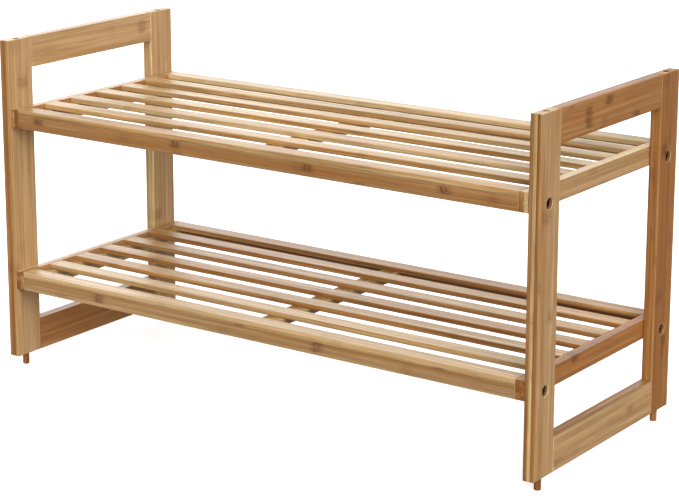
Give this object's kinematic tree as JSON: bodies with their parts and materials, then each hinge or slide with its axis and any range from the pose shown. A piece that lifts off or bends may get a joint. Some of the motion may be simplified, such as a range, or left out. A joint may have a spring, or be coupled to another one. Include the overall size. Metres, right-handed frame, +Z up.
{
  "type": "shoe rack",
  "caption": "Low slatted bamboo shoe rack: slat shelves bolted between open side frames, with stacking pins and matching sockets at the post ends.",
  "frame": {"origin": "on the floor under the middle of the rack, at the tips of its stacking pins", "axes": "+X to the right along the shelves, +Y to the rear, +Z up"},
  "size_m": [0.808, 0.33, 0.443],
  "materials": {
    "frame_bamboo": "laminated natural bamboo, satin lacquer",
    "slat_bamboo": "pale natural bamboo, satin lacquer",
    "rail_bamboo": "brown carbonised bamboo, satin lacquer",
    "pin_wood": "reddish brown hardwood, satin",
    "bolt_steel": "dark zinc plated",
    "insert_brass": "machined"
  },
  "bodies": {
    "root": {"left_bottom_rail": "frame_bamboo", "left_front_post": "frame_bamboo", "left_front_stacking_pin": "pin_wood", "left_rear_post": "frame_bamboo", "left_rear_stacking_pin": "pin_wood", "left_top_rail": "frame_bamboo", "lower_centre_support": "rail_bamboo", "lower_front_apron": "rail_bamboo", "lower_left_end_rail": "rail_bamboo", "lower_left_front_bolt": "bolt_steel", "lower_left_front_insert": "insert_brass", "lower_left_ledger": "rail_bamboo", "lower_left_rear_bolt": "bolt_steel", "lower_left_rear_insert": "insert_brass", "lower_rear_apron": "rail_bamboo", "lower_right_end_rail": "rail_bamboo", "lower_right_front_bolt": "bolt_steel", "lower_right_front_insert": "insert_brass", "lower_right_ledger": "rail_bamboo", "lower_right_rear_bolt": "bolt_steel", "lower_right_rear_insert": "insert_brass", "lower_slat_1": "slat_bamboo", "lower_slat_2": "slat_bamboo", "lower_slat_3": "slat_bamboo", "lower_slat_4": "slat_bamboo", "lower_slat_5": "slat_bamboo", "lower_slat_6": "slat_bamboo", "lower_slat_7": "slat_bamboo", "right_bottom_rail": "frame_bamboo", "right_front_post": "frame_bamboo", "right_front_stacking_pin": "pin_wood", "right_rear_post": "frame_bamboo", "right_rear_stacking_pin": "pin_wood", "right_top_rail": "frame_bamboo", "upper_centre_support": "rail_bamboo", "upper_front_apron": "rail_bamboo", "upper_left_end_rail": "rail_bamboo", "upper_left_front_bolt": "bolt_steel", "upper_left_front_insert": "insert_brass", "upper_left_ledger": "rail_bamboo", "upper_left_rear_bolt": "bolt_steel", "upper_left_rear_insert": "insert_brass", "upper_rear_apron": "rail_bamboo", "upper_right_end_rail": "rail_bamboo", "upper_right_front_bolt": "bolt_steel", "upper_right_front_insert": "insert_brass", "upper_right_ledger": "rail_bamboo", "upper_right_rear_bolt": "bolt_steel", "upper_right_rear_insert": "insert_brass", "upper_slat_1": "slat_bamboo", "upper_slat_2": "slat_bamboo", "upper_slat_3": "slat_bamboo", "upper_slat_4": "slat_bamboo", "upper_slat_5": "slat_bamboo", "upper_slat_6": "slat_bamboo", "upper_slat_7": "slat_bamboo"}
  },
  "joints": []
}
